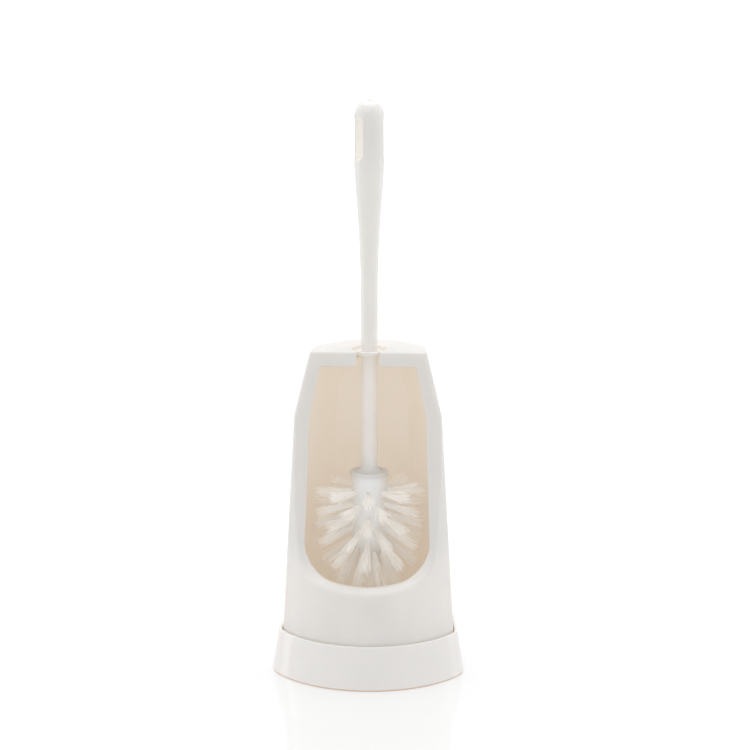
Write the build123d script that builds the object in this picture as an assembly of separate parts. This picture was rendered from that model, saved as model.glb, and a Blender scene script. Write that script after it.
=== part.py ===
from build123d import *
import os
from math import cos, radians, sin, sqrt, tan
from typing import NamedTuple

# Open-front toilet brush set: a drip tray, a tower shell that stands in it, and a brush that hangs
# by its collar in a keyhole in the tower's roof.
# Frame: origin on the floor under the brush axis, +Z up, the open front faces -Y, +X to the right.
# All lengths are millimetres and all angles are degrees.

# ---------------------------------------------------------------- driving dimensions: tower shell
WALL = 2.0
RIM_Z = 29.0          # top edge of the drip tray
FOLD_Z = 175.6        # level where the walls turn inwards
ROOF_Z = 218.1        # top of the roof
FLOOR_TOP = 4.0       # drip tray floor, on which the tower stands
STAND_GAP = 0.1       # free play under the tower's foot and under the brush collar

FRAME_TOP = 14.5      # how far the roof's front edge stands forward of the brush axis
FRAME_LEAN = 7.7      # lean of the flat front frame from the vertical
SCOOP_Z = 84.0        # height where the frame starts to curl forward
SCOOP_RADIUS = 22.0
SCOOP_EXIT = 62.0     # lean of the curled lip where it runs out through the bowed front wall
EDGE_ROUND = 3.0      # rounded edges where the frame meets the walls
ROOF_ROUND = 2.2      # rounded edge of the roof

OPENING_TOP = 208.3   # the front opening
OPENING_BOTTOM = 65.8
OPENING_HALF_TOP = 31.6
OPENING_HALF_FOLD = 38.3
OPENING_HALF_LOW = 41.4
OPENING_CORNER = 3.0
LOW_CORNER = 25.0     # radius of the opening's lower corners
LOW_SWEEP = 100.0     # radius of the opening's lower edge
LIP_ROUND = 0.8       # softened edge of the opening
MOUTH_ROUND = 0.6     # softened edge of the keyhole and its slot

# ---------------------------------------------------------------- driving dimensions: keyhole seat
RECESS_RADIUS = 11.6
SEAT_DEPTH = 4.5      # from the roof's top down to the ledge
SEAT_RADIUS = 9.9     # foot of the recess, around the collar
SEAT_THICKNESS = 2.1
SLOT_WIDTH = 15.6
CUP_WALL = 1.6

# ---------------------------------------------------------------- driving dimensions: drip tray
TRAY_WALL = 2.2
RIM_GAP = 0.5         # between the tray's rim and the tower
FLARE = 4.6           # how far the skirt spreads from its rim to the floor
FLOOR_LIFT = 1.8      # the tray's underside stands this far off the floor
FOOT_WIDTH = 3.2      # width of the ring that the tray stands on
RIM_ROUND = 1.0       # the rim's top is almost a half round
SKIRT_ROUND = 0.8
TAB_LENGTH = 16.0     # upright tabs that centre the tower
TAB_HEIGHT = 10.0
TAB_THICKNESS = 1.6
TAB_PLAY = 0.5

# ---------------------------------------------------------------- driving dimensions: brush
TOTAL_HEIGHT = 382.0
NUB_HEIGHT = 0.5      # gate mark on top of the handle
NUB_RADIUS = 1.4
NUB_ROUND = 0.4
DOME_RADIUS = 9.6
GRIP_RADIUS = 9.8
GRIP_END_Z = 345.0    # the handle narrows below this
GRIP_TAPER = [(9.15, 329.8), (7.35, 303.6), (6.05, 277.0)]    # radius and height on the way down
NECK_Z = 250.0        # and is a plain rod below this
NECK_RADIUS = 5.6
COLLAR_RADIUS = 9.2
COLLAR_THICKNESS = 2.9
SHAFT_RADIUS = 5.65   # rod below the collar
HANG_SLOT_LOW = 341.7
HANG_SLOT_HIGH = 372.2
HANG_SLOT_WIDTH = 10.4
HANG_SLOT_TURN = 28.0     # the slot's left mouth is turned this far towards the front
HANG_SLOT_ROUND = 0.8
DISC_ROUND = 0.7          # softened edges of the collar and of the flange
FLANGE_RADIUS = 12.85
FLANGE_TOP = 134.5
FLANGE_THICKNESS = 3.0
FLANGE_SWEEP = 4.6        # radius that runs the rod out into the flange
SPIGOT_RADIUS = 4.5       # peg under the flange, pressed into the hub
SPIGOT_LENGTH = 22.0
SPIGOT_CHAMFER = 1.0

HUB_RADIUS = 11.9
HUB_DOME_Z = 87.0         # centre of the hub's rounded end
HOLE_RADIUS = 1.5
HOLE_DEPTH = 5.5
TUFT_TOP_Z = 120.6        # height of the highest ring of tufts
TUFT_PITCH = 8.3          # from one ring to the next
TUFTS_PER_RING = 8
END_TUFTS = 4
END_RING_RADIUS = 4.2
TUFT_TILTS = {"a": 0.0, "b": 8.0, "c": 14.0, "d": 20.0, "e": 40.0, "f": 65.0}
END_TILT = 78.0
TUFT_REACH = 25.8         # free length of a tuft
TUFT_ROOT_RADIUS = 1.42
TUFT_TIP_RADIUS = 2.3
STAPLE_WIDTH = 2.6
STAPLE_HEIGHT = 2.0
STAPLE_THICKNESS = 0.4

NEAR = 0.05           # two places this close are taken as the same when edges are picked


# ---------------------------------------------------------------- tower plan
class Level(NamedTuple):
    """Plan of the tower at one height: bowed front, straight sides, chamfered back corners."""
    z: float
    half_width: float
    bow: float          # the front's furthest reach
    shoulder: float     # where the bow meets the sides, forward of the axis
    waist_x: float      # rear end of the straight sides
    waist_y: float
    back_half: float    # half width of the back panel
    back: float
    front_round: float
    back_round: float


FOOT_LEVEL = Level(FLOOR_TOP + STAND_GAP, 57.7, 53.8, 19.3, 54.4, 23.5, 32.0, 53.8, 15.0, 6.0)
RIM_LEVEL = FOOT_LEVEL._replace(z=RIM_Z)
FOLD_LEVEL = Level(FOLD_Z, 49.3, 48.1, 20.5, 45.8, 18.0, 26.5, 42.3, 15.0, 5.5)
ROOF_LEVEL = Level(ROOF_Z, 39.4, 44.0, 20.0, 36.5, 11.6, 16.5, 36.8, 15.0, 5.0)


def plan(level):
    """The level's outline as a face in the XY plane."""
    front_left = (-level.half_width, -level.shoulder)
    front_right = (level.half_width, -level.shoulder)
    bow = ThreePointArc(front_left, (0, -level.bow), front_right)
    rest = Polyline(
        front_right,
        (level.waist_x, level.waist_y),
        (level.back_half, level.back),
        (-level.back_half, level.back),
        (-level.waist_x, level.waist_y),
        front_left,
    )
    face = make_face(bow.edges() + rest.edges())
    face = fillet(face.vertices().filter_by(lambda v: v.Y < 0), level.front_round)
    return fillet(face.vertices().filter_by(lambda v: v.Y > 0), level.back_round)


def tower_loft(inset):
    """The tower's outer form, with every wall moved inwards by inset."""
    sections = []
    for level in (FOOT_LEVEL, RIM_LEVEL, FOLD_LEVEL, ROOF_LEVEL):
        outline = plan(level)
        if inset:
            outline = offset(outline, -inset)
        sections.append(Pos(0, 0, level.z) * outline)
    return loft(sections, ruled=True)


def frame_profile():
    """Points of the front seen from the side, as (y, z): roof, start, centre and end of the scoop."""
    lean = radians(FRAME_LEAN)
    leave = radians(SCOOP_EXIT)
    start = (-FRAME_TOP - (ROOF_Z - SCOOP_Z) * tan(lean), SCOOP_Z)
    centre = (start[0] - SCOOP_RADIUS * cos(lean), start[1] + SCOOP_RADIUS * sin(lean))
    end = (centre[0] + SCOOP_RADIUS * cos(leave), centre[1] - SCOOP_RADIUS * sin(leave))
    return start, centre, end


def frame_y(z):
    """Where the front of the frame or of the scoop is at height z."""
    start, centre, end = frame_profile()
    if z > start[1]:
        return start[0] + (z - start[1]) * tan(radians(FRAME_LEAN))
    if z > end[1]:
        return centre[0] + sqrt(SCOOP_RADIUS ** 2 - (z - centre[1]) ** 2)
    return end[0] - (end[1] - z) * tan(radians(SCOOP_EXIT))


def front_region(inset):
    """Everything in front of the leaning frame and the scoop below it, grown backwards by inset."""
    beyond = 60.0
    start, centre, end = frame_profile()
    middle = radians((FRAME_LEAN + SCOOP_EXIT) / 2)
    deepest = (centre[0] + SCOOP_RADIUS * cos(middle), centre[1] - SCOOP_RADIUS * sin(middle))
    above = (frame_y(ROOF_Z + beyond), ROOF_Z + beyond)
    out = (frame_y(end[1] - beyond / 2), end[1] - beyond / 2)
    lines = Polyline(end, out, (out[0], above[1]), above, start)
    scoop = ThreePointArc(start, deepest, end)
    profile = make_face(lines.edges() + scoop.edges())
    if inset:
        profile = offset(profile, inset)
    return extrude(Plane.YZ * profile, amount=2 * RIM_LEVEL.half_width, both=True)


def on_frame(edge):
    """Whether the edge's middle lies on the front of the frame, and isn't a seam straight across it."""
    middle = edge.position_at(0.5)
    seam = edge.geom_type == GeomType.LINE and abs(middle.X) < 1 and middle.Z < ROOF_Z - 1
    return abs(middle.Y - frame_y(middle.Z)) < NEAR and middle.Z > OPENING_BOTTOM - 10 and not seam


def front_opening():
    """The tall window in the frame, cut from in front as far back as the brush axis."""
    sweep_z = OPENING_BOTTOM + LOW_SWEEP
    corner_x = OPENING_HALF_LOW - LOW_CORNER
    corner_z = sweep_z - sqrt((LOW_SWEEP - LOW_CORNER) ** 2 - corner_x ** 2)
    meet_x = corner_x * LOW_SWEEP / (LOW_SWEEP - LOW_CORNER)
    meet_z = sweep_z - sqrt(LOW_SWEEP ** 2 - meet_x ** 2)
    diagonal = LOW_CORNER * sqrt(0.5)
    lines = Polyline(
        (-OPENING_HALF_LOW, corner_z),
        (-OPENING_HALF_FOLD, FOLD_Z),
        (-OPENING_HALF_TOP, OPENING_TOP),
        (OPENING_HALF_TOP, OPENING_TOP),
        (OPENING_HALF_FOLD, FOLD_Z),
        (OPENING_HALF_LOW, corner_z),
    )
    right = ThreePointArc(
        (OPENING_HALF_LOW, corner_z),
        (corner_x + diagonal, corner_z - diagonal),
        (meet_x, meet_z),
    )
    bottom = ThreePointArc((meet_x, meet_z), (0, OPENING_BOTTOM), (-meet_x, meet_z))
    left = ThreePointArc(
        (-meet_x, meet_z),
        (-corner_x - diagonal, corner_z - diagonal),
        (-OPENING_HALF_LOW, corner_z),
    )
    face = make_face(lines.edges() + right.edges() + bottom.edges() + left.edges())
    face = fillet(face.vertices().filter_by(lambda v: v.Y > OPENING_TOP - 1), OPENING_CORNER)
    return extrude(Plane.XZ * face, amount=2 * RIM_LEVEL.bow)


# ---------------------------------------------------------------- tower shell
SEAT_Z = ROOF_Z - SEAT_DEPTH      # the ledge that the collar rests on
ON_BASE = (Align.CENTER, Align.CENTER, Align.MIN)


def seat_cup():
    """The wall of the cup that hangs from the roof around the collar."""
    low = SEAT_Z - SEAT_THICKNESS
    return Pos(0, 0, low) * Cylinder(RECESS_RADIUS + CUP_WALL, ROOF_Z - WALL / 2 - low, align=ON_BASE)


def keyhole():
    """The space inside the cup, with the slot that lets the rod out forwards."""
    above = ROOF_Z + 10
    low = SEAT_Z - SEAT_THICKNESS - 1
    bore = Pos(0, 0, low) * Cylinder(SLOT_WIDTH / 2, above - low, align=ON_BASE)
    recess = Pos(0, 0, SEAT_Z) * Cone(SEAT_RADIUS, RECESS_RADIUS, SEAT_DEPTH, align=ON_BASE)
    slot = Pos(0, 0, OPENING_TOP - 2) * Box(
        SLOT_WIDTH, 3 * FRAME_TOP, above - OPENING_TOP, align=(Align.CENTER, Align.MAX, Align.MIN)
    )
    return bore + recess + slot


def on_keyhole_mouth(edge):
    """Whether the edge borders the keyhole in the roof's top or the slot in the frame's front."""
    middle = edge.position_at(0.5)
    on_roof = abs(middle.Z - ROOF_Z) < NEAR and middle.Y > -FRAME_TOP
    on_front = on_frame(edge) and abs(abs(middle.X) - SLOT_WIDTH / 2) < NEAR
    beside_rod = abs(middle.X) < RECESS_RADIUS + NEAR and abs(middle.Y) < FRAME_TOP + EDGE_ROUND
    return beside_rod and (on_roof or on_front)


def rounded_outside():
    """The tower as a solid block, with the edges of its frame and of its roof rounded."""
    block = tower_loft(0) - front_region(0)
    frame_edges = block.edges().filter_by(on_frame)
    frame_edges = frame_edges.filter_by(lambda edge: edge.position_at(0.5).Z < ROOF_Z - 1)
    block = fillet(frame_edges, EDGE_ROUND)
    roof_edges = block.faces().sort_by(Axis.Z)[-1].edges()
    return fillet(roof_edges, ROOF_ROUND)


def tower_shell():
    outer = rounded_outside()
    inner = tower_loft(WALL) - front_region(WALL)
    over_all = 4 * RIM_LEVEL.half_width
    roof_slab = Pos(0, 0, ROOF_Z - WALL) * Box(over_all, over_all, 4 * WALL, align=ON_BASE)
    shell = outer - (inner - roof_slab) - front_opening()
    opening_edges = shell.edges().filter_by(
        lambda edge: on_frame(edge) and abs(edge.position_at(0.5).X) < OPENING_HALF_LOW + 0.5
    )
    shell = fillet(opening_edges, LIP_ROUND)
    shell = shell + seat_cup() - keyhole()
    return fillet(shell.edges().filter_by(on_keyhole_mouth), MOUTH_ROUND)


# ---------------------------------------------------------------- drip tray
def skirt_outline(z, inset):
    """The skirt's plan at height z, moved inwards by inset."""
    spread = RIM_GAP + TRAY_WALL + FLARE * (1 - z / RIM_Z) - inset
    return Pos(0, 0, z) * offset(plan(RIM_LEVEL), spread)


def centring_tabs():
    """Four upright tabs on the floor, just inside the tower's foot."""
    foot = FOOT_LEVEL
    inwards = TAB_THICKNESS / 2 + WALL + TAB_PLAY
    narrowing = (foot.half_width - foot.waist_x) / (foot.waist_y + foot.shoulder)
    side = foot.half_width - narrowing * (foot.shoulder + TAB_LENGTH / 2) - inwards
    front = inwards - foot.bow + TAB_LENGTH ** 2 / (8 * foot.half_width)
    tab = Box(TAB_LENGTH, TAB_THICKNESS, TAB_HEIGHT, align=ON_BASE)
    places = [(0, foot.back - inwards, 0), (0, front, 0), (side, 0, 90), (-side, 0, 90)]
    return [Pos(x, y, FLOOR_TOP) * Rot(0, 0, turn) * tab for x, y, turn in places]


def base_tray():
    skirt = loft([skirt_outline(0, 0), skirt_outline(RIM_Z, 0)], ruled=True)
    above = RIM_Z + 5
    well = loft([skirt_outline(FLOOR_TOP, TRAY_WALL), skirt_outline(above, TRAY_WALL)], ruled=True)
    underside = extrude(skirt_outline(0, FOOT_WIDTH), amount=FLOOR_LIFT)
    tray = skirt - well
    tray = fillet(tray.edges().filter_by(lambda edge: edge.position_at(0.5).Z > RIM_Z - NEAR), RIM_ROUND)
    tray = fillet(tray.faces().sort_by(Axis.Z)[0].edges(), SKIRT_ROUND)
    tray -= underside
    for tab in centring_tabs():
        tray += tab
    return tray


# ---------------------------------------------------------------- brush
COLLAR_LOW = SEAT_Z + STAND_GAP
COLLAR_TOP = COLLAR_LOW + COLLAR_THICKNESS
FLANGE_LOW = FLANGE_TOP - FLANGE_THICKNESS


def handle_turning():
    """Half section of the handle, to the right of its axis, turned into a solid."""
    dome_top = TOTAL_HEIGHT - NUB_HEIGHT
    dome_z = dome_top - DOME_RADIUS
    diagonal = DOME_RADIUS * sqrt(0.5)
    dome = ThreePointArc((0, dome_top), (diagonal, dome_z + diagonal), (DOME_RADIUS, dome_z))
    grip = Line((DOME_RADIUS, dome_z), (GRIP_RADIUS, GRIP_END_Z))
    narrowing = Spline(
        (GRIP_RADIUS, GRIP_END_Z),
        *GRIP_TAPER,
        (NECK_RADIUS, NECK_Z),
        tangents=[(0, -1), (0, -1)],
    )
    sweep_z = FLANGE_TOP + FLANGE_SWEEP
    sweep_x = SHAFT_RADIUS + FLANGE_SWEEP
    sweep_diagonal = FLANGE_SWEEP * sqrt(0.5)
    rod = Polyline(
        (NECK_RADIUS, NECK_Z),
        (NECK_RADIUS, COLLAR_TOP),
        (COLLAR_RADIUS, COLLAR_TOP),
        (COLLAR_RADIUS, COLLAR_LOW),
        (SHAFT_RADIUS, COLLAR_LOW),
        (SHAFT_RADIUS, sweep_z),
    )
    sweep = ThreePointArc(
        (SHAFT_RADIUS, sweep_z),
        (sweep_x - sweep_diagonal, sweep_z - sweep_diagonal),
        (sweep_x, FLANGE_TOP),
    )
    flange = Polyline(
        (sweep_x, FLANGE_TOP),
        (FLANGE_RADIUS, FLANGE_TOP),
        (FLANGE_RADIUS, FLANGE_LOW),
        (SPIGOT_RADIUS, FLANGE_LOW),
        (SPIGOT_RADIUS, FLANGE_LOW - SPIGOT_LENGTH + SPIGOT_CHAMFER),
        (SPIGOT_RADIUS - SPIGOT_CHAMFER, FLANGE_LOW - SPIGOT_LENGTH),
        (0, FLANGE_LOW - SPIGOT_LENGTH),
        (0, dome_top),
    )
    edges = dome.edges() + grip.edges() + narrowing.edges() + rod.edges() + sweep.edges() + flange.edges()
    return revolve(Plane.XZ * make_face(edges), Axis.Z)


def brush_handle():
    middle = (HANG_SLOT_LOW + HANG_SLOT_HIGH) / 2
    length = HANG_SLOT_HIGH - HANG_SLOT_LOW
    slot_face = Plane.YZ * SlotOverall(length, HANG_SLOT_WIDTH, rotation=90)
    slot = extrude(slot_face, amount=3 * GRIP_RADIUS, both=True)
    nub = Pos(0, 0, TOTAL_HEIGHT - NUB_HEIGHT) * Cylinder(NUB_RADIUS, 2 * NUB_HEIGHT)
    nub = fillet(nub.faces().sort_by(Axis.Z)[-1].edges(), NUB_ROUND)
    handle = handle_turning()
    discs = [(COLLAR_RADIUS, COLLAR_TOP), (COLLAR_RADIUS, COLLAR_LOW), (FLANGE_RADIUS, FLANGE_TOP)]
    circles = handle.edges().filter_by(GeomType.CIRCLE)
    rims = circles.filter_by(
        lambda edge: any(abs(edge.radius - radius) + abs(edge.center().Z - z) < NEAR for radius, z in discs)
    )
    handle = fillet(rims, DISC_ROUND) - Pos(0, 0, middle) * Rot(0, 0, HANG_SLOT_TURN) * slot
    mouths = handle.edges().filter_by(
        lambda edge: HANG_SLOT_LOW - NEAR < edge.position_at(0.5).Z < HANG_SLOT_HIGH + NEAR
        and edge.bounding_box().size.Z < length + 1
        and edge.geom_type == GeomType.BSPLINE
    )
    return fillet(mouths, HANG_SLOT_ROUND) + nub


class Ring(NamedTuple):
    """One ring of tufts around the hub."""
    name: str
    z: float
    radius: float       # where the tufts leave the hub
    tilt: float         # downwards from the horizontal
    count: int
    start: float        # turn of the first tuft from the front


def tuft_rings():
    rings = []
    half_step = 180 / TUFTS_PER_RING
    for index, (name, tilt) in enumerate(TUFT_TILTS.items()):
        z = TUFT_TOP_Z - index * TUFT_PITCH
        below = max(HUB_DOME_Z - z, 0)
        radius = sqrt(HUB_RADIUS ** 2 - below ** 2)
        rings.append(Ring(name, z, radius, tilt, TUFTS_PER_RING, half_step * (index % 2)))
    end_z = HUB_DOME_Z - sqrt(HUB_RADIUS ** 2 - END_RING_RADIUS ** 2)
    rings.append(Ring("end", end_z, END_RING_RADIUS, END_TILT, END_TUFTS, 0))
    return rings


def around(ring, piece):
    """Copies of a piece at the ring's places, drawn along +X from where a tuft leaves the hub."""
    copies = []
    for number in range(ring.count):
        turn = ring.start + 360 / ring.count * number - 90
        copies.append(Rot(0, 0, turn) * Pos(ring.radius, 0, ring.z) * Rot(0, ring.tilt, 0) * piece)
    return copies


def brush_hub(rings):
    top = FLANGE_LOW
    body = Pos(0, 0, HUB_DOME_Z) * Cylinder(HUB_RADIUS, top - HUB_DOME_Z, align=ON_BASE)
    hub = body + Pos(0, 0, HUB_DOME_Z) * Sphere(HUB_RADIUS)
    hub -= Pos(0, 0, top) * Cylinder(
        SPIGOT_RADIUS, SPIGOT_LENGTH + 1, align=(Align.CENTER, Align.CENTER, Align.MAX)
    )
    hole = Pos(-HOLE_DEPTH, 0, 0) * Rot(0, 90, 0) * Cylinder(HOLE_RADIUS, 2 * HOLE_DEPTH, align=ON_BASE)
    for ring in rings:
        hub -= around(ring, hole)
    return hub


def tuft():
    """A bundle of bristles along +X, from its folded root in the hole to its spread tip."""
    root = STAPLE_HEIGHT - HOLE_DEPTH
    section = make_face(Polyline(
        (root, 0),
        (root, TUFT_ROOT_RADIUS),
        (1, TUFT_ROOT_RADIUS),
        (TUFT_REACH, TUFT_TIP_RADIUS),
        (TUFT_REACH, 0),
        (root, 0),
    ).edges())
    return revolve(section, Axis.X)


def staple():
    """The flat wire anchor at the bottom of a hole, which the bristles are folded over."""
    return Pos(-HOLE_DEPTH, 0, 0) * Box(
        STAPLE_HEIGHT, STAPLE_WIDTH, STAPLE_THICKNESS, align=(Align.MIN, Align.CENTER, Align.CENTER)
    )


# ---------------------------------------------------------------- the files
def main():
    os.makedirs("parts", exist_ok=True)
    rings = tuft_rings()
    nodes = {
        "base_tray": base_tray(),
        "tower_shell": tower_shell(),
        "brush_handle": brush_handle(),
        "brush_hub": brush_hub(rings),
    }
    for ring in rings:
        nodes[f"tufts_{ring.name}"] = Compound(around(ring, tuft()))
        nodes[f"staples_{ring.name}"] = Compound(around(ring, staple()))
    for name, shape in nodes.items():
        export_step(shape, f"parts/{name}.step")


main()
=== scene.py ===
import math
import random
from typing import NamedTuple

import bmesh
import bpy
import numpy as np
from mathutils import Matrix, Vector


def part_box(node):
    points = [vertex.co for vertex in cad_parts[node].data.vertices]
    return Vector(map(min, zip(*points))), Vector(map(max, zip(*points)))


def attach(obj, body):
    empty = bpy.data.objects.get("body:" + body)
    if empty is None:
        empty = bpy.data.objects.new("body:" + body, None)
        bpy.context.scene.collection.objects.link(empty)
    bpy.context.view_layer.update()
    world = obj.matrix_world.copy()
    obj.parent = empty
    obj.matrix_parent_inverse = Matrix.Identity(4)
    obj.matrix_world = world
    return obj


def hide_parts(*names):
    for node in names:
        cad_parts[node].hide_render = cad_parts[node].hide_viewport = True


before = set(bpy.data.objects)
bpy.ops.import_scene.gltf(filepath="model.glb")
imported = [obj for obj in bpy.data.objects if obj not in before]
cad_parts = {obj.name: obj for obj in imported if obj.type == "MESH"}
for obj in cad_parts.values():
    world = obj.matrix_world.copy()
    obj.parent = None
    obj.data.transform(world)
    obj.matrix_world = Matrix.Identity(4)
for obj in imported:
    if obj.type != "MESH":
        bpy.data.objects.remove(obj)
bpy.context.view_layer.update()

# The looks of an open-front toilet brush set in white moulded plastic: a tower on a drip tray, and a
# brush that hangs in it. The mouldings are the CAD's own meshes with finished materials. The tufts
# are rebuilt as bundles of separate filaments. Lengths are metres, unless a name says millimetres.

MM = 0.001
random_numbers = random.Random(52)
RANGE_SOCKETS = ("From Min", "From Max", "To Min", "To Max")    # of a Map Range node


# ---------------------------------------------------------------- camera, floor and light
AIM = Vector((0.0038, 0.0, 0.1999))     # the middle of the picture
CAMERA_REACH = 1.2933                   # from there to the camera
CAMERA_AZIMUTH = math.radians(3.0)
CAMERA_PITCH = math.radians(10.9)
FOCAL_MM = 93.12
SENSOR_MM = 36.0
CLIP_END = 20                           # the camera sees this far
FLOOR_RADIUS = 3.0
STUDIO_FRONT = 0.94                     # brightness of the studio before the object
STUDIO_BACK = 1.06                      # and behind it
FADE = (-0.7, 0.5)                      # it changes between these y of a unit direction
LIGHT_BOUNCES = 24                      # light passes many times through and between the white walls


def towards(azimuth, elevation):
    """Unit vector from the object to a place at that azimuth, counted from the front to the right."""
    flat = math.cos(elevation)
    return Vector((math.sin(azimuth) * flat, -math.cos(azimuth) * flat, math.sin(elevation)))


def add_camera():
    data = bpy.data.cameras.new("camera")
    data.lens = FOCAL_MM
    data.sensor_width = SENSOR_MM
    data.clip_end = CLIP_END
    camera = bpy.data.objects.new("camera", data)
    camera.location = AIM + CAMERA_REACH * towards(CAMERA_AZIMUTH, CAMERA_PITCH)
    camera.rotation_euler = (math.pi / 2 - CAMERA_PITCH, 0, CAMERA_AZIMUTH)
    bpy.context.scene.collection.objects.link(camera)
    bpy.context.scene.camera = camera


def add_softbox(name, azimuth, elevation, distance, width, height, watts):
    """A rectangular diffused lamp that faces the object."""
    data = bpy.data.lights.new(name, "AREA")
    data.shape = "RECTANGLE"
    data.size = width
    data.size_y = height
    data.energy = watts
    lamp = bpy.data.objects.new(name, data)
    direction = towards(math.radians(azimuth), math.radians(elevation))
    lamp.location = AIM + distance * direction
    lamp.rotation_euler = direction.to_track_quat("Z", "Y").to_euler()
    bpy.context.scene.collection.objects.link(lamp)


def add_surroundings():
    """A white studio all round, dimmer on the front's side than behind the object."""
    world = bpy.data.worlds.new("studio")
    world.use_nodes = True
    nodes = world.node_tree.nodes
    direction = nodes.new("ShaderNodeTexCoord")
    split = nodes.new("ShaderNodeSeparateXYZ")
    fade = nodes.new("ShaderNodeMapRange")
    fade.interpolation_type = "SMOOTHSTEP"
    for socket, number in zip(RANGE_SOCKETS, (*FADE, STUDIO_FRONT, STUDIO_BACK)):
        fade.inputs[socket].default_value = number
    link = world.node_tree.links.new
    link(direction.outputs["Generated"], split.inputs["Vector"])
    link(split.outputs["Y"], fade.inputs["Value"])
    link(fade.outputs["Result"], nodes["Background"].inputs["Strength"])
    nodes["Background"].inputs["Color"].default_value = (1, 1, 1, 1)
    bpy.context.scene.world = world


def light_studio():
    """White surroundings, a large lamp above and behind the object, and a narrow one at each side."""
    add_surroundings()
    add_softbox("top_light", azimuth=180, elevation=75, distance=1.6, width=1.6, height=1.2, watts=13.5)
    for name, azimuth, watts in (("left_strip", -100, 2.3), ("right_strip", 106, 1.7)):
        add_softbox(name, azimuth, elevation=10, distance=1.4, width=0.3, height=0.9, watts=watts)


def add_floor():
    """A round white table top, level with the tray's foot."""
    mesh = bpy.data.meshes.new("floor")
    shape = bmesh.new()
    bmesh.ops.create_circle(shape, cap_ends=True, segments=128, radius=FLOOR_RADIUS)
    shape.to_mesh(mesh)
    shape.free()
    floor = bpy.data.objects.new("floor", mesh)
    mesh.materials.append(floor_laminate())
    bpy.context.scene.collection.objects.link(floor)


# ---------------------------------------------------------------- material building blocks
# A Mix node's colour sockets share their names with its others, so they go by number.
COLOUR_A = 6
COLOUR_B = 7
COLOUR_OUT = 2


class Shader:
    """A material under construction, with short calls for the nodes that this scene needs."""

    def __init__(self, name):
        self.material = bpy.data.materials.new(name)
        self.material.use_nodes = True
        self.tree = self.material.node_tree
        self.surface = self.tree.nodes["Principled BSDF"]
        self.place = self.node("ShaderNodeTexCoord")

    def node(self, kind, **settings):
        made = self.tree.nodes.new(kind)
        for name, value in settings.items():
            setattr(made, name, value)
        return made

    def link(self, source, target):
        self.tree.links.new(source, target)

    def feed(self, socket, value):
        """Gives a socket a plain value or another node's output."""
        if isinstance(value, bpy.types.NodeSocket):
            self.link(value, socket)
        else:
            socket.default_value = value

    def set(self, **values):
        """Sets the shader's own sockets, with _ for the spaces in their names."""
        for name, value in values.items():
            self.feed(self.surface.inputs[name.replace("_", " ")], value)

    def noise(self, size, detail=3.0, stretch=(1, 1, 1)):
        """Noise from 0 to 1, with features of that size in metres, stretched along the axes."""
        mapping = self.node("ShaderNodeMapping")
        mapping.inputs["Scale"].default_value = [1 / (size * s) for s in stretch]
        self.link(self.place.outputs["Object"], mapping.inputs["Vector"])
        texture = self.node("ShaderNodeTexNoise")
        texture.inputs["Scale"].default_value = 1
        texture.inputs["Detail"].default_value = detail
        self.link(mapping.outputs["Vector"], texture.inputs["Vector"])
        return texture.outputs["Fac"]

    def ramp(self, value, low, high, start=0.0, end=1.0):
        """Carries value from low..high smoothly to start..end."""
        mapped = self.node("ShaderNodeMapRange", interpolation_type="SMOOTHSTEP")
        self.feed(mapped.inputs["Value"], value)
        for socket, number in zip(RANGE_SOCKETS, (low, high, start, end)):
            mapped.inputs[socket].default_value = number
        return mapped.outputs["Result"]

    def larger(self, first, second):
        """The larger of two values."""
        made = self.node("ShaderNodeMath", operation="MAXIMUM")
        self.link(first, made.inputs[0])
        self.link(second, made.inputs[1])
        return made.outputs["Value"]

    def blend(self, factor, first, second):
        """Mixes two colours by factor."""
        mix = self.node("ShaderNodeMix", data_type="RGBA")
        self.feed(mix.inputs["Factor"], factor)
        self.feed(mix.inputs[COLOUR_A], first)
        self.feed(mix.inputs[COLOUR_B], second)
        return mix.outputs[COLOUR_OUT]

    def bump(self, height, depth, below=None):
        """A normal bumped by height times depth in metres, on top of another bump if one is given."""
        made = self.node("ShaderNodeBump")
        made.inputs["Strength"].default_value = 1
        made.inputs["Distance"].default_value = depth
        self.feed(made.inputs["Height"], height)
        if below:
            self.link(below, made.inputs["Normal"])
        return made.outputs["Normal"]

    def let_light_through(self, share, colour):
        """Makes that share of the surface's light come from behind it, tinted by colour."""
        behind = self.node("ShaderNodeBsdfTranslucent")
        behind.inputs["Color"].default_value = colour
        both = self.node("ShaderNodeMixShader")
        both.inputs["Fac"].default_value = share
        self.link(self.surface.outputs["BSDF"], both.inputs[1])
        self.link(behind.outputs["BSDF"], both.inputs[2])
        self.link(both.outputs["Shader"], self.tree.nodes["Material Output"].inputs["Surface"])

    def height(self):
        """How high the shaded point is above the floor, with the object at rest."""
        split = self.node("ShaderNodeSeparateXYZ")
        self.link(self.place.outputs["Object"], split.inputs["Vector"])
        return split.outputs["Z"]

    def facing_inwards(self):
        """1 where the surface faces the brush's axis, and 0 where it faces away."""
        flat = self.node("ShaderNodeVectorMath", operation="MULTIPLY")
        flat.inputs[1].default_value = (1, 1, 0)
        self.link(self.place.outputs["Object"], flat.inputs[0])
        outwards = self.node("ShaderNodeVectorMath", operation="NORMALIZE")
        self.link(flat.outputs["Vector"], outwards.inputs[0])
        across = self.node("ShaderNodeVectorMath", operation="DOT_PRODUCT")
        self.link(outwards.outputs["Vector"], across.inputs[0])
        self.link(self.place.outputs["Normal"], across.inputs[1])
        return self.ramp(across.outputs["Value"], 0.05, -0.35)


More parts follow.
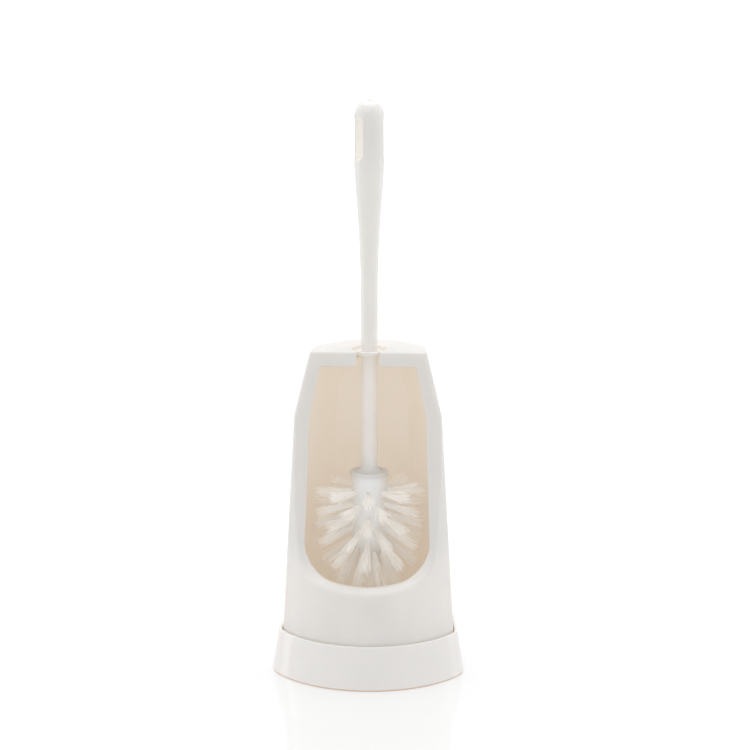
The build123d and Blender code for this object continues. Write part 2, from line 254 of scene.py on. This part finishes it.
# colours
PURE = (0.97, 0.975, 0.975, 1)          # the brush's plastic, undyed
WHITE = (0.93, 0.96, 0.985, 1)          # the tower's plastic
GREY_CLOUDS_AND_SHADE = (0.80, 0.835, 0.865, 1)        # the same, a shade greyer: the clouds' colour, and painted shade above the tower's foot
TRAY_WHITE = (0.88, 0.87, 0.86, 1)      # the tray's plastic is a shade warmer
TRAY_GREYED = (0.85, 0.84, 0.83, 1)
GRIP_GREY_CLOUDS_AND_SHADE = (0.75, 0.775, 0.79, 1)    # the brush's grip greyer than its rod: painted shade, and the clouds' greyer colour
GLOW = (0.97, 0.90, 0.81, 1)            # light that has passed through a wall
WARM_GLOW_PAINTED = (0.96, 0.925, 0.885, 1)          # painted glow: warm light that comes through the walls, painted on the inner faces of the tower and the tray
CONTACT_SHADOW_BROWN = (0.62, 0.36, 0.14, 1)      # painted contact shadow: the thin brown line along the tray's foot
DUST = (0.55, 0.50, 0.44, 1)            # the specks
NYLON = (0.995, 0.99, 0.985, 1)
NYLON_SHADE = (0.98, 0.975, 0.965, 1)
NYLON_GLOW = (0.99, 0.98, 0.96, 1)      # light that has passed through a filament
STEEL = (0.62, 0.61, 0.59, 1)
TARNISH = (0.45, 0.43, 0.40, 1)

# marks on the mouldings
CONTACT_SHADOW_HEIGHT = 1.5 * MM                    # how far up the tray the painted contact shadow reaches
CLOUD_SIZE = 35 * MM
CLOUD_GREY = 0.5                        # share of the greyer colour in the middle of a cloud
GLOSS_RANGE = 0.10                      # how much rougher it is there
SPECK_SIZE = 0.9 * MM
SPECK_DEPTH = 0.12                      # how much of DUST's colour a speck has
SINK_SIZE = 22 * MM                     # the shallow waves that cooling leaves
SINK_DEPTH = 0.03 * MM
SKIN_DEPTH = 0.006 * MM                 # the fine texture of the mould's face


def moulded(name, white, greyer, gloss, texture_mm, clearness, painted_shade_heights=None, inside=None):
    """Injection-moulded polypropylene: cloudy colour, an orange-peel skin and patchy gloss.

    Painted shade turns the colour from white to greyer between the two given heights. inside is the
    colour of the faces that look at the brush's axis; on the tower and the tray it is a painted warm
    glow."""
    shader = Shader(name)
    clouds = shader.noise(CLOUD_SIZE, detail=4)
    specks = shader.noise(SPECK_SIZE, detail=2)
    skin = shader.noise(texture_mm * MM, detail=2)
    sink = shader.noise(SINK_SIZE, detail=1)
    greyness = shader.ramp(clouds, 0.35, 0.75, 0.0, CLOUD_GREY)
    # painted shade: the colour goes greyer above the given heights
    if painted_shade_heights:
        greyness = shader.larger(greyness, shader.ramp(shader.height(), *painted_shade_heights))
    tone = shader.blend(greyness, white, greyer)
    # the inner faces take the inside colour; on the tower and the tray it is a painted warm glow
    if inside:
        tone = shader.blend(shader.facing_inwards(), tone, inside)
    speck = shader.ramp(specks, 0.70, 0.80, 0.0, SPECK_DEPTH)
    shader.set(
        Base_Color=shader.blend(speck, tone, DUST),
        Roughness=shader.ramp(clouds, 0.2, 0.8, gloss, gloss + GLOSS_RANGE),
        Normal=shader.bump(sink, SINK_DEPTH, shader.bump(skin, SKIN_DEPTH)),
        IOR=1.49,
    )
    shader.let_light_through(clearness, GLOW)
    return shader


# ---------------------------------------------------------------- materials
def tower_plastic():
    """Thin walls that let the most light through, greyer above the foot by painted shade, with a
    painted warm glow on the inner faces.
    """
    shader = moulded("tower_plastic", WHITE, GREY_CLOUDS_AND_SHADE, gloss=0.16, texture_mm=1.4, clearness=0.38,
                     painted_shade_heights=(60 * MM, 100 * MM), inside=WARM_GLOW_PAINTED)
    return shader.material


def tray_plastic():
    """The glossiest moulding, with a painted brown contact shadow where it meets the floor and a
    painted warm glow on the inner faces.
    """
    shader = moulded("tray_plastic", TRAY_WHITE, TRAY_GREYED, gloss=0.09, texture_mm=1.4,
                     clearness=0.16, inside=WARM_GLOW_PAINTED)
    plain = shader.surface.inputs["Base Color"].links[0].from_socket
    # painted contact shadow: brown in the lowest part of the tray
    foot = shader.ramp(shader.height(), CONTACT_SHADOW_HEIGHT, 0.0)
    shader.set(Base_Color=shader.blend(foot, plain, CONTACT_SHADOW_BROWN))
    return shader.material


def handle_plastic():
    """White below the tower's roof and in the hanging slot, and greyer above by painted shade."""
    shader = moulded("handle_plastic", PURE, GRIP_GREY_CLOUDS_AND_SHADE, gloss=0.16, texture_mm=1.1, clearness=0.30,
                     painted_shade_heights=(190 * MM, 240 * MM), inside=PURE)
    return shader.material


def hub_plastic():
    """Thick, so it lets little light through, and less glossy."""
    shader = moulded("hub_plastic", PURE, WHITE, gloss=0.30, texture_mm=0.8, clearness=0.12)
    return shader.material


def bristle_nylon():
    """Bright, milky filament. Its faint glow stands in for the light that it carries along itself."""
    shader = Shader("bristle_nylon")
    streaks = shader.noise(0.6 * MM, detail=2)
    shader.set(
        Base_Color=shader.blend(streaks, NYLON, NYLON_SHADE),
        Roughness=shader.ramp(streaks, 0.2, 0.8, 0.28, 0.42),
        IOR=1.53,
        Emission_Color=(1.0, 0.97, 0.94, 1),
        Emission_Strength=0.03,
    )
    shader.let_light_through(0.3, NYLON_GLOW)
    return shader.material


def staple_steel():
    """Drawn wire, flattened, with fine lines and a little tarnish."""
    shader = Shader("staple_steel")
    lines = shader.noise(0.15 * MM, detail=3, stretch=(1, 1, 8))
    shader.set(
        Base_Color=shader.blend(lines, STEEL, TARNISH),
        Metallic=1.0,
        Roughness=shader.ramp(lines, 0.2, 0.8, 0.25, 0.45),
        Normal=shader.bump(lines, 0.004 * MM),
    )
    return shader.material


def floor_laminate():
    """Glossy white sheet that glows a little, so that it looks as pale as the studio around it."""
    shader = Shader("floor_laminate")
    shader.set(
        Base_Color=(0.30, 0.30, 0.30, 1),
        Roughness=shader.ramp(shader.noise(0.09), 0.3, 0.7, 0.03, 0.06),
        IOR=1.45,
        Emission_Color=(1, 1, 1, 1),
        Emission_Strength=0.515,
    )
    return shader.material


# ---------------------------------------------------------------- tufts
FILAMENTS = 60                # in one tuft
FILAMENT_RADIUS = 0.15 * MM
FILAMENT_SIDES = 6
FILAMENT_STEPS = 4
HELD = 0.12                   # share of the length that the hub's hole grips
FAN = 1.35                    # how far the cut tips spread past the CAD solid
RAGGED = 0.26                 # how unevenly the tips are cut, as a share of the length
SCATTER = 0.045               # how far each filament leaves its place, as a share of the length
STRAYS = 7                    # filaments that leave the bundle
LEAN = 0.06                   # how far a tuft may lean off its hole's axis
FEW_SHORT = 1.3               # above 1, short filaments are rarer than long ones
STRAY_SCATTER = 2.2           # how much further the strays leave their places
LATE_SPREAD = 1.25            # above 1, the filaments stay together near the hub
END_BAND = 0.1                # share of a tuft's length that counts as its end
WELD = 0.001 * MM             # mesh corners closer than this are one corner
COUNT_FROM = math.radians(-170)     # the tufts of a ring are counted from here, where none points


class Tuft(NamedTuple):
    """One bundle, measured from its CAD solid."""
    root: Vector
    tip: Vector
    root_radius: float
    tip_radius: float


def separate_solids(mesh):
    """The corner positions of each closed solid in a mesh."""
    shape = bmesh.new()
    shape.from_mesh(mesh)
    bmesh.ops.remove_doubles(shape, verts=shape.verts, dist=WELD)
    waiting = set(shape.verts)
    while waiting:
        found = {waiting.pop()}
        frontier = list(found)
        while frontier:
            vertex = frontier.pop()
            for edge in vertex.link_edges:
                other = edge.other_vert(vertex)
                if other in waiting:
                    waiting.discard(other)
                    found.add(other)
                    frontier.append(other)
        yield np.array([vertex.co for vertex in found])
    shape.free()


def measure_tuft(points, heart):
    """Root, tip and radii of a tuft's solid. Its root is the end nearer the hub's heart."""
    middle = points.mean(axis=0)
    axis = np.linalg.svd(points - middle, full_matrices=False)[2][0]
    if np.dot(middle - heart, axis) < 0:
        axis = -axis
    along = (points - middle) @ axis
    length = along.max() - along.min()
    ends = []
    for end in (along.min(), along.max()):
        ring = points[np.abs(along - end) < END_BAND * length]
        centre = (ring.min(axis=0) + ring.max(axis=0)) / 2
        offsets = ring - centre
        across = offsets - np.outer(offsets @ axis, axis)
        radius = float(np.linalg.norm(across, axis=1).max())
        ends.append((centre + axis * (end - (centre - middle) @ axis), radius))
    (root, root_radius), (tip, tip_radius) = ends
    return Tuft(Vector(root), Vector(tip), root_radius, tip_radius)


def filament_line(tuft, number):
    """Points along one filament, from inside the hub's hole to its cut tip."""
    axis = (tuft.tip - tuft.root).normalized()
    side = axis.orthogonal().normalized()
    up = axis.cross(side)
    length = (tuft.tip - tuft.root).length
    share = math.sqrt((number + 0.5) / FILAMENTS)
    turn = number * math.pi * (3 - math.sqrt(5))
    outwards = math.cos(turn) * side + math.sin(turn) * up
    reach = length * (1 - RAGGED * random_numbers.random() ** FEW_SHORT)
    scatter = SCATTER * length * (STRAY_SCATTER if number >= FILAMENTS - STRAYS else 1)
    wander = random_numbers.gauss(0, scatter) * side + random_numbers.gauss(0, scatter) * up
    spread = FAN * tuft.tip_radius * share * outwards + wander
    packed = tuft.root_radius * share * outwards
    line = [tuft.root + packed]
    for step in range(FILAMENT_STEPS + 1):
        free = step / FILAMENT_STEPS
        along = reach * (HELD + (1 - HELD) * free)
        line.append(tuft.root + axis * along + packed.lerp(spread, free ** LATE_SPREAD))
    return line


def tube(line, vertices, faces):
    """Adds a thin round rod along the line, closed at both ends."""
    first = len(vertices)
    axis = (line[-1] - line[0]).normalized()
    side = axis.orthogonal().normalized()
    up = axis.cross(side)
    for point in line:
        for corner in range(FILAMENT_SIDES):
            turn = 2 * math.pi * corner / FILAMENT_SIDES
            vertices.append(point + FILAMENT_RADIUS * (math.cos(turn) * side + math.sin(turn) * up))
    for step in range(len(line) - 1):
        for corner in range(FILAMENT_SIDES):
            following = (corner + 1) % FILAMENT_SIDES
            low = first + step * FILAMENT_SIDES
            high = low + FILAMENT_SIDES
            faces.append((low + corner, low + following, high + following, high + corner))
    last = first + (len(line) - 1) * FILAMENT_SIDES
    faces.append([first + corner for corner in reversed(range(FILAMENT_SIDES))])
    faces.append([last + corner for corner in range(FILAMENT_SIDES)])


def leaned(tuft):
    """The tuft leaning a little off its hole's axis, as real ones do."""
    length = (tuft.tip - tuft.root).length
    lean = Vector([random_numbers.uniform(-LEAN, LEAN) for _ in range(3)])
    return tuft._replace(tip=tuft.root + (tuft.tip - tuft.root + lean * length).normalized() * length)


def turn_in_ring(tuft):
    """How far round the ring the tuft is, counted from COUNT_FROM."""
    return (math.atan2(tuft.tip.y, tuft.tip.x) - COUNT_FROM) % (2 * math.pi)


def add_tufts(ring, material):
    """Replaces one ring of CAD tufts by bundles of filaments."""
    node = "tufts_" + ring
    low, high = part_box("brush_hub")
    heart = np.array([0, 0, low.z + 0.5 * (high.z - low.z)])
    vertices = []
    faces = []
    tufts = [measure_tuft(points, heart) for points in separate_solids(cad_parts[node].data)]
    for tuft in sorted(tufts, key=turn_in_ring):
        bundle = leaned(tuft)
        for number in range(FILAMENTS):
            tube(filament_line(bundle, number), vertices, faces)
    mesh = bpy.data.meshes.new("filaments_" + ring)
    mesh.from_pydata(vertices, [], faces)
    mesh.materials.append(material)
    piece = bpy.data.objects.new("filaments_" + ring, mesh)
    bpy.context.scene.collection.objects.link(piece)
    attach(piece, "brush")
    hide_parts(node)


# ---------------------------------------------------------------- the object
RINGS = ("a", "b", "c", "d", "e", "f", "end")


def finish_mouldings():
    """Gives each moulding that is carried over from the CAD its own material."""
    finishes = {
        "tower_shell": tower_plastic(),
        "base_tray": tray_plastic(),
        "brush_handle": handle_plastic(),
        "brush_hub": hub_plastic(),
    }
    steel = staple_steel()
    for ring in RINGS:
        finishes["staples_" + ring] = steel
    for node, material in finishes.items():
        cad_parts[node].data.materials[0] = material


def main():
    finish_mouldings()
    nylon = bristle_nylon()
    for ring in RINGS:
        add_tufts(ring, nylon)
    add_floor()
    light_studio()
    add_camera()
    bpy.context.scene.view_settings.view_transform = "Standard"
    bpy.context.scene.cycles.max_bounces = LIGHT_BOUNCES
    bpy.context.scene.cycles.diffuse_bounces = LIGHT_BOUNCES


main()
